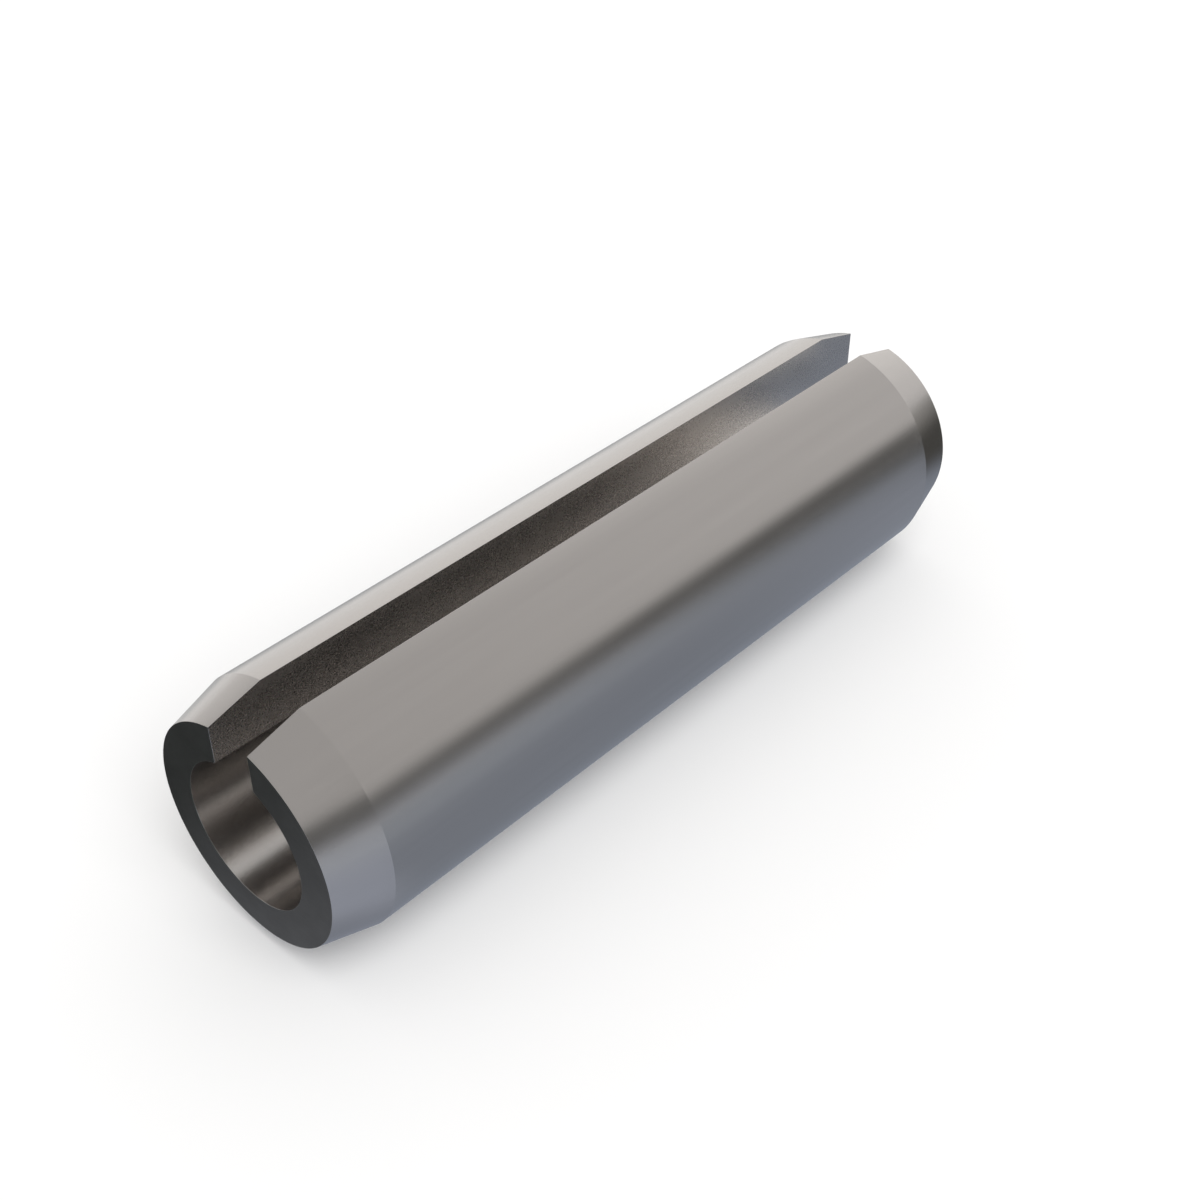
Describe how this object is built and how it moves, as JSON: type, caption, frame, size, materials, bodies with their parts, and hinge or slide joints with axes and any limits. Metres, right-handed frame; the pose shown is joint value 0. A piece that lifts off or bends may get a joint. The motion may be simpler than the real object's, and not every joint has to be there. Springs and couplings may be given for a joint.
{
  "type": "spring roll pin",
  "caption": "Slotted spring pin: a thick-walled steel tube, open along a straight lengthwise slot, chamfered at both ends, that springs tight in a drilled hole.",
  "frame": {"origin": "on the pin's axis at mid-length", "axes": "+X along the pin, +Z through the middle of the slot, which faces up as the pin lies, +Y across"},
  "size_m": [0.035, 0.01, 0.0099],
  "materials": {
    "spring_steel": "satin"
  },
  "bodies": {
    "root": {"spring_pin": "spring_steel"}
  },
  "joints": []
}
